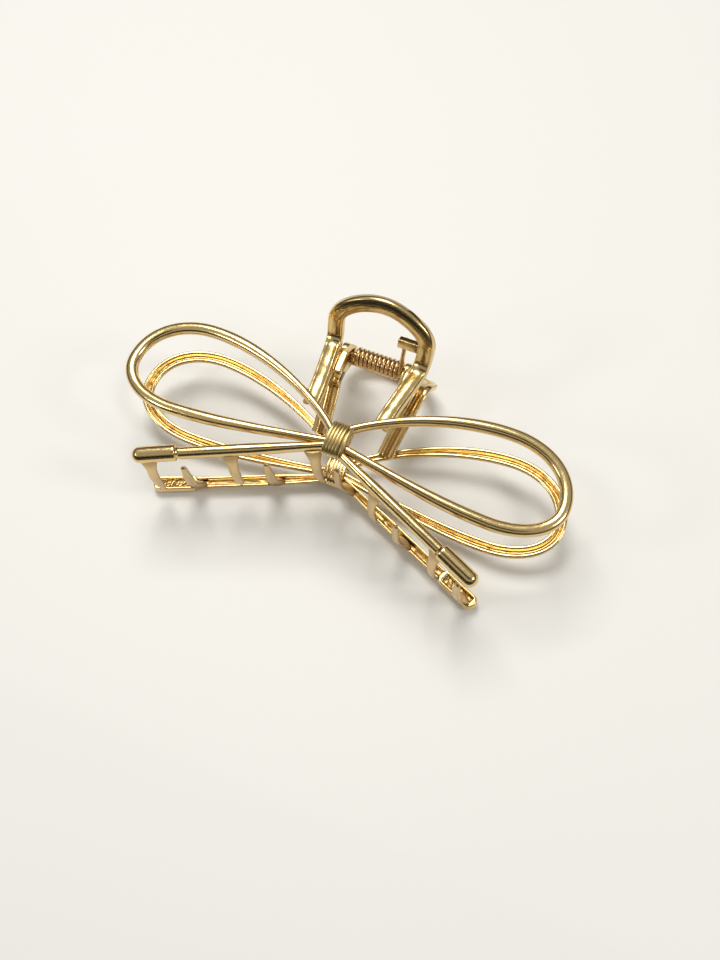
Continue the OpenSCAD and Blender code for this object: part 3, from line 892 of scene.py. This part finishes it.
def makeTeeth(name, half, right, nodes):
    s = toothSizes
    places = [-s["reach"] + s["pitch"] * i for i in range(s["count"])]
    places = [abs(p) for p in places if (p > 0) == right]
    feet = onBow(tailAt((np.array(places) - tailStart[0]) / tailRun[0]))
    feet[:, 2] += -tailSizes["thickness"] / 2 + s["rootSink"]
    piece = meshObject(name, feet * mm)
    grow(piece, toothRow, {
        **lengthsIn(s, "length", "rootWidth", "width", "rootExtra", "thickness", "tip", "tipThickness",
                    "rootOffset", "offset", "hook", "unevenness"),
        "Turn": -tailTurn, "Seed": half["seed"] + right, "Material": metalOf["toothGold"],
    })
    if not right:
        piece.data.transform(Matrix.Scale(-1, 4, (1, 0, 0)))
        turnOutward(piece.data)
    return settle(piece, half, nodes)


for side, half, right, seen in halfCastings():
    makeTeeth(f"{side}Teeth_{seen}", half, right, [f"{side}_{seen}_teeth"])
print("teeth made")


handleSizes = {        # millimetres and degrees
    "band": 3.9, "thickness": 2.24, "legRise": 5.0, "legTilt": 12.0, "legBaseOut": 8.5,
    "legLength": 18.6, "archOut": 11.1, "archSide": 6.0, "archHeight": 13.14, "bend": 61.0,
    "bendLength": 4.4, "spacing": 0.4, "ridge": 1.35, "crown": 0.25, "channel": 0.6, "ramp": 0.5,
    "squareness": 0.42, "sides": 72, "rim": 0.75, "rimDepth": 0.14, "hammer": 0.16, "hammerSize": 1.8,
    "waviness": 0.34,
}
bendTurn = handleSizes["bend"] + handleSizes["legTilt"]
bendRadius = handleSizes["bendLength"] / math.radians(bendTurn)
bendReach = bendRadius * math.tan(math.radians(bendTurn / 2))
cornerGap = bendReach - handleSizes["bendLength"] / 2


def bentStrip(flat):
    # a flat strip of (x, along) as the bent handle, with the way it faces
    s = handleSizes
    tilt, bend, half = math.radians(s["legTilt"]), math.radians(s["bend"]), s["bendLength"] / 2
    begin = np.array([-bendReach * math.cos(tilt), s["legRise"] + bendReach * math.sin(tilt)])
    v = flat[:, 1]
    angle = -tilt + math.radians(bendTurn) * np.clip(v / s["bendLength"] + 0.5, 0, 1)
    arc = bendRadius * np.column_stack([np.sin(angle) + math.sin(tilt), math.cos(tilt) - np.cos(angle)])
    below = (v + half)[:, None] * [math.cos(tilt), -math.sin(tilt)]
    above = arc + np.maximum(0, v - half)[:, None] * [math.cos(bend), math.sin(bend)]
    yz = begin + np.where((v < -half)[:, None], below, above)
    facing = np.column_stack([np.zeros(len(v)), -np.sin(angle), np.cos(angle)])
    return np.column_stack([flat[:, 0], yz]), facing


def handleStrip():
    s = handleSizes
    leg = [[s["legBaseOut"], -s["legLength"] + cornerGap], [s["legBaseOut"] + 0.5, -s["legLength"] / 2],
           [s["archOut"], -2], [s["archOut"], s["archSide"] - cornerGap]]
    arch = [[s["archOut"], s["archSide"] - cornerGap], [s["archOut"], s["archSide"] + 3.4 - cornerGap],
            [s["archOut"] * 0.45, s["archHeight"] - cornerGap], [0, s["archHeight"] - cornerGap]]
    side = np.vstack([bezier(leg, np.linspace(0, 1, 80))[:-1], bezier(arch, np.linspace(0, 1, 60))])
    other = side[::-1][1:] * [-1, 1]
    return even(np.vstack([side, other]), s["spacing"])


def makeHandle(name, half, nodes):
    line, facing = bentStrip(handleStrip())
    piece = pathObject(name, line, facing, np.full(len(line), handleSizes["band"]))
    castAlong(piece, handleSizes, 1.3 * half["seed"])
    return settle(piece, half, nodes)


for side, half in halves.items():
    makeHandle(f"{side}Handle", half, [f"{side}_handle"])
print("handles made")


hingeSizes = {        # millimetres
    "pin": 1.8, "clearance": 0.04, "lugThickness": 1.4, "lugGap": 0.15, "lugRadius": 2.4,
    "head": 3.0, "headThickness": 0.5, "wire": 1.0, "coil": 4.8, "coilTurns": 10, "coilGap": 0.06,
    "endGap": 0.1, "tabWidth": 5.0, "tabHeight": 2.2, "tabThickness": 1.8, "tabUp": 5.4,
    "tabGrip": 0.4, "tabBevel": 0.22, "webRun": 5.0, "webHeel": 2.0, "webDrop": 2.2, "webSink": 0.75,
    "webGrip": 0.9, "webBevel": 0.25, "legInside": 8.633, "lugBevel": 0.18, "boreRim": 0.3,
    "armPast": 1.4, "armGap": 0.03, "turnSteps": 40, "wireSides": 20,
}
wireRadius = hingeSizes["wire"] / 2
coilRadius = (hingeSizes["coil"] - hingeSizes["wire"]) / 2
coilPitch = hingeSizes["wire"] + hingeSizes["coilGap"]
coilHalf = coilPitch * hingeSizes["coilTurns"] / 2
armX = coilHalf + coilPitch / 2
innerLug = armX + wireRadius + hingeSizes["endGap"]
outerLug = innerLug + hingeSizes["lugThickness"] + hingeSizes["lugGap"]
pinHalf = outerLug + hingeSizes["lugThickness"] + hingeSizes["lugGap"]


def roundedBlock(name, size, bevel, segments):
    # a box, in millimetres, whose edges are all rounded over
    work = bmesh.new()
    bmesh.ops.create_cube(work, size=1.0)
    bmesh.ops.scale(work, verts=work.verts, vec=np.array(size) * mm)
    block = meshObject(name, [])
    work.to_mesh(block.data)
    work.free()
    rounded = block.modifiers.new("rounded", "BEVEL")
    rounded.width, rounded.segments, rounded.limit_method = bevel * mm, segments, "NONE"
    return bake(block)


def lugOutline(circle):
    # how far the plate reaches each way round the pin: a round lug, and a web that runs to the leg
    s = hingeSizes
    r, top = s["lugRadius"], handleSizes["legRise"] + handleSizes["thickness"] / 4
    web = np.array([[-r - s["webHeel"], -r / 4], [-r * 0.62, -r * 0.78], [r * 0.62, r * 0.78],
                    [-s["webDrop"], top], [-r - s["webRun"], top]])
    outline = []
    for way in circle:
        far = r
        for p, q in zip(web, np.roll(web, -1, axis=0)):
            edge = q - p
            bottom = way[0] * edge[1] - way[1] * edge[0]
            if abs(bottom) > 1e-9:
                t = (p[0] * edge[1] - p[1] * edge[0]) / bottom
                u = (p[0] * way[1] - p[1] * way[0]) / bottom
                if t > 0 and -1e-9 <= u <= 1 + 1e-9:
                    far = max(far, t)
        outline.append(way * far)
    return np.array(outline)


def lugPlate(x):
    # a plate round the pin with its bore, softened along its outer edges
    s = hingeSizes
    bore, thick, soft = s["pin"] / 2 + s["clearance"], s["lugThickness"], s["lugBevel"]
    turns = np.linspace(0, 2 * math.pi, 144, endpoint=False)
    circle = np.column_stack([np.cos(turns), np.sin(turns)])
    outline = lugOutline(circle)
    inset, eased = outline - circle * soft, outline - circle * soft * 0.3
    oneSide = [(circle * bore, 0.0), (circle * (bore + s["boreRim"]), 0.0), (inset, 0.0),
               (eased, soft * 0.3), (outline, soft)]
    rings = oneSide + [(ring, thick - h) for ring, h in oneSide[::-1]]
    points = [(x + h, p[0], p[1]) for ring, h in rings for p in ring]
    around, count = len(turns), len(rings)
    faces = []
    for i in range(count):
        low, high = i * around, (i + 1) % count * around
        faces += [(low + k, low + (k + 1) % around, high + (k + 1) % around, high + k)
                  for k in range(around)]
    return points, faces


def makeLugs(name, half, nodes):
    s = hingeSizes
    points, faces = [], []
    for x in (-innerLug - s["lugThickness"], outerLug):
        morePoints, moreFaces = lugPlate(x)
        faces += [tuple(i + len(points) for i in f) for f in moreFaces]
        points += morePoints
    piece = meshObject(name, np.array(points) * mm, faces)
    turnOutward(piece.data)
    # a bridge joins each web to the leg beside it
    bridges = []
    depth = handleSizes["thickness"] / 2 + 0.6
    low, high = 0.4 - s["lugRadius"] - s["webRun"], -s["webDrop"] - 0.2
    legIn = s["legInside"] + s["webGrip"]
    for left, right in ((-legIn, -innerLug), (outerLug, legIn)):
        block = roundedBlock("bridge", (right - left, high - low, depth), s["webBevel"], 4)
        top = handleSizes["legRise"] - s["webSink"]
        middle = Vector(((left + right) / 2, (low + high) / 2, top - depth / 2))
        block.data.transform(Matrix.Translation(middle * mm))
        bridges.append(block)
    piece = joinPieces(piece, bridges)
    shadeAndPaint(piece, 35, "polishedGold")
    return settle(piece, half, nodes)


def tabMiddle():
    # the middle of the spring tab, across the arch's plane
    return Vector(bentStrip(np.array([[0.0, hingeSizes["tabUp"] - cornerGap]]))[0][0])


def makeTab(name, half, nodes):
    s = hingeSizes
    end = handleSizes["archOut"] - handleSizes["band"] / 2 + s["tabGrip"]
    block = roundedBlock(name, (s["tabWidth"], s["tabHeight"], s["tabThickness"]), s["tabBevel"], 5)
    lean = Matrix.Rotation(math.radians(handleSizes["bend"]), 4, "X")
    turn = Matrix.Translation(tabMiddle() * mm) @ lean
    block.data.transform(turn @ Matrix.Translation(Vector((end - s["tabWidth"] / 2, 0, 0)) * mm))
    shadeAndPaint(block, 50, "polishedGold")
    return settle(block, half, nodes)


def makePin(name, nodes):
    # a plain pin with two domed, peened heads
    s = hingeSizes
    radius, head, thick = s["pin"] / 2, s["head"] / 2, s["headThickness"]
    domed = [(pinHalf + thick * math.sin(a), head * math.cos(a) ** 0.8)
             for a in np.linspace(0.25, math.pi / 2 - 0.06, 10)]
    right = [(pinHalf, radius), (pinHalf, head - 0.12), (pinHalf + 0.06, head - 0.02)] + domed
    profile = [(-x, r) for x, r in right[::-1]] + right
    end = profile[-1][0] + 0.005
    points, faces = turned(profile, 48, -end, end)
    piece = meshObject(name, points * mm, faces)
    turnOutward(piece.data)
    shadeAndPaint(piece, 50, "pinGold")
    return settle(piece, {"place": frontPlace, "body": "back_jaw"}, nodes)


for side, half in halves.items():
    makeLugs(f"{side}HingeLugs", half, [f"{side}_hinge_lugs"])
    makeTab(f"{side}SpringTab", half, [f"{side}_spring_tab"])
makePin("hingePin", ["hinge_pin"])
print("hinge made")


def makeWireSweep():
    tree, given, ends = newTree("springWire", {"Wire": ("Float", mm), "Sides": ("Int", 20)})
    curve = addNode(tree, "GeometryNodeMeshToCurve", {"Mesh": given["Geometry"]})
    ring = addNode(tree, "GeometryNodeCurvePrimitiveCircle",
                   {"Resolution": given["Sides"], "Radius": times(given["Wire"], 0.5)})
    swept = addNode(tree, "GeometryNodeCurveToMesh",
                    {"Curve": curve.outputs[0], "Profile Curve": ring.outputs[0], "Fill Caps": True})
    finishTree(tree, ends, swept.outputs[0], given["Material"])
    return tree


springWire = makeWireSweep()


def makeSpring(name, nodes):
    # back arm, coil and front arm in one length of wire
    s = hingeSizes
    bend = math.radians(handleSizes["bend"])
    along = np.array([math.cos(bend), math.sin(bend)])
    behind = np.array([along[1], -along[0]])
    rest = np.array(tabMiddle()[1:]) - s["tabHeight"] / 2 * along \
        + (s["tabThickness"] / 2 + wireRadius + s["armGap"]) * behind
    # each arm leaves the coil straight towards the foot of its tab
    armTurn = math.atan2(rest[1], rest[0]) + math.acos(coilRadius / np.linalg.norm(rest))
    foot = coilRadius * np.array([math.cos(armTurn), math.sin(armTurn)])
    reach = np.linalg.norm(rest - foot)
    end = foot + (rest - foot) * (reach + s["armPast"]) / reach
    frontEnd, frontFoot = np.array([armX, *end]), np.array([armX, *foot])
    turnedRound = [-1, 1, -1]
    backEnd, backFoot = frontEnd * turnedRound, frontFoot * turnedRound
    # the wire winds from the back arm's foot to the front arm's foot
    total = 2 * math.pi * s["coilTurns"] + (2 * armTurn) % (2 * math.pi)
    level = np.linspace(0, 1, round(total / (2 * math.pi) * s["turnSteps"]) + 1)
    turns = -armTurn + total * level
    coil = np.column_stack([armX * (2 * level - 1), coilRadius * np.cos(turns),
                            coilRadius * np.sin(turns)])
    armSteps = np.linspace(0, 1, 14)[:, None]
    line = np.vstack([(backEnd + (backFoot - backEnd) * armSteps)[:-1], coil,
                      (frontFoot + (frontEnd - frontFoot) * armSteps)[1:]])
    piece = meshObject(name, line * mm, edges=[(i, i + 1) for i in range(len(line) - 1)])
    grow(piece, springWire, {"Wire": s["wire"] * mm, "Sides": s["wireSides"],
                             "Material": metalOf["springWire"]})
    piece.data.transform(frontPlace)
    piece.data.update()
    inside = armX - wireRadius
    start, end = (tuple(frontPlace @ (Vector((x, 0, 0)) * mm)) for x in (-inside, inside))
    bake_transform(piece, "back_jaw", "front_jaw", start=start, end=end)
    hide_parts(*nodes)
    return piece


makeSpring("torsionSpring", ["torsion_spring", "spring_front_arm"])
print("spring wound")


studio = {
    "floorSize": 6.0, "floorColour": rgb(0.86, 0.848, 0.80), "floorCloud": rgb(0.88, 0.87, 0.83),
    "worldColour": rgb(1.0, 0.99, 0.97), "lampColour": (1.0, 0.985, 0.96),
    "cardColour": rgb(0.01, 0.01, 0.01),
    "overhead": 0.43, "horizon": 0.05, "backdrop": 0.9,        # what the room shines with, by height
    "softboxes": [        # spot, aim, size in metres, watts
        ((-0.22, 0.30, 0.75), (0.0, 0.0, 0.01), 0.42, 4.2),
        ((0.50, 0.02, 0.42), (0.0, 0.0, 0.01), 0.16, 0.8),
        ((-0.45, -0.38, 0.40), (0.0, 0.0, 0.01), 0.14, 0.6),
    ],
    "darkCards": [        # corner, and the two sides that run from it, in metres
        ((-0.5, -0.42, 0.02), (1.0, 0.0, 0.0), (0.0, -0.06, 0.27)),
        ((-0.4, -0.50, 0.002), (0.8, 0.0, 0.0), (0.0, 0.42, 0.0)),
        ((-0.5, 0.5, 0.06), (1.0, 0.0, 0.0), (0.0, 0.0, 0.12)),
        ((-0.1, -0.22, 0.36), (0.32, 0.0, 0.0), (0.0, 0.12, 0.05)),
    ],
}
camera = {
    "spot": (0.0601, -0.11539, 0.24064), "aim": (0.0074656, -0.011176, 0.015),
    "roll": -4.134, "lens": 42.23, "sensor": 36.0,
}


def aimed(spot, aim, roll=0.0):
    way = Vector(aim) - Vector(spot)
    return way.to_track_quat("-Z", "Y") @ Quaternion((0, 0, 1), math.radians(roll))


def panel(name, corner, across, up):
    # one flat four-cornered sheet
    corner, across, up = Vector(corner), Vector(across), Vector(up)
    return meshObject(name, [corner, corner + across, corner + across + up, corner + up], [(0, 1, 2, 3)])


def makeFloor():
    size = studio["floorSize"]
    floor = panel("floor", (-size / 2, -size / 2, 0), (size, 0, 0), (0, size, 0))
    paper, tree, shader = newMaterial("palePaper")
    position = addNode(tree, "ShaderNodeTexCoord").outputs["Object"]
    fibre = noise(position, 900.0, 4.0)
    tint = colourMix(noise(position, 6.0, 2.0), studio["floorColour"], studio["floorCloud"])
    tree.links.new(tint, shader.inputs["Base Color"])
    bump = addNode(tree, "ShaderNodeBump", {"Strength": 0.15, "Distance": 0.1 * mm, "Height": fibre})
    tree.links.new(bump.outputs["Normal"], shader.inputs["Normal"])
    shader.inputs["Roughness"].default_value = 0.55
    floor.data.materials.append(paper)


def makeDarkCards():
    # cards that only the polished metal sees, for the dark edges that shape it
    black, _, shader = newMaterial("blackCard")
    shader.inputs["Base Color"].default_value = studio["cardColour"]
    shader.inputs["Roughness"].default_value = 1.0
    for i, sides in enumerate(studio["darkCards"]):
        card = panel(f"darkCard{i}", *sides)
        card.data.materials.append(black)
        card.visible_camera = card.visible_diffuse = card.visible_shadow = False


def makeLights():
    for i, (spot, aim, size, watts) in enumerate(studio["softboxes"]):
        lamp = bpy.data.lights.new(f"softbox{i}", "AREA")
        lamp.shape, lamp.size, lamp.energy = "SQUARE", size, watts
        lamp.color = studio["lampColour"]
        box = placed(lamp.name, lamp)
        box.location = spot
        box.rotation_mode = "QUATERNION"
        box.rotation_quaternion = aimed(spot, aim)
    world = bpy.data.worlds.new("paleRoom")
    bpy.context.scene.world = world
    world.use_nodes = True
    # a room that is bright overhead and dim at eye level, against a pale backdrop
    tree = world.node_tree
    room = tree.nodes["Background"]
    way = axes(addNode(tree, "ShaderNodeTexCoord").outputs["Generated"])
    glow = between(way[2], 0.12, 0.75, studio["horizon"], studio["overhead"])
    seen = addNode(tree, "ShaderNodeLightPath").outputs["Is Camera Ray"]
    strength = timesPlus(seen, minus(studio["backdrop"], glow), glow)
    tree.links.new(strength, room.inputs["Strength"])
    room.inputs["Color"].default_value = studio["worldColour"]


def makeCamera():
    lens = bpy.data.cameras.new("camera")
    lens.lens, lens.sensor_width, lens.clip_start = camera["lens"], camera["sensor"], 0.01
    eye = placed("camera", lens)
    eye.location = camera["spot"]
    eye.rotation_mode = "QUATERNION"
    eye.rotation_quaternion = aimed(camera["spot"], camera["aim"], camera["roll"])
    bpy.context.scene.camera = eye


makeFloor()
makeDarkCards()
makeLights()
makeCamera()
bpy.context.scene.view_settings.view_transform = "Standard"
print("floor, lights and camera placed")
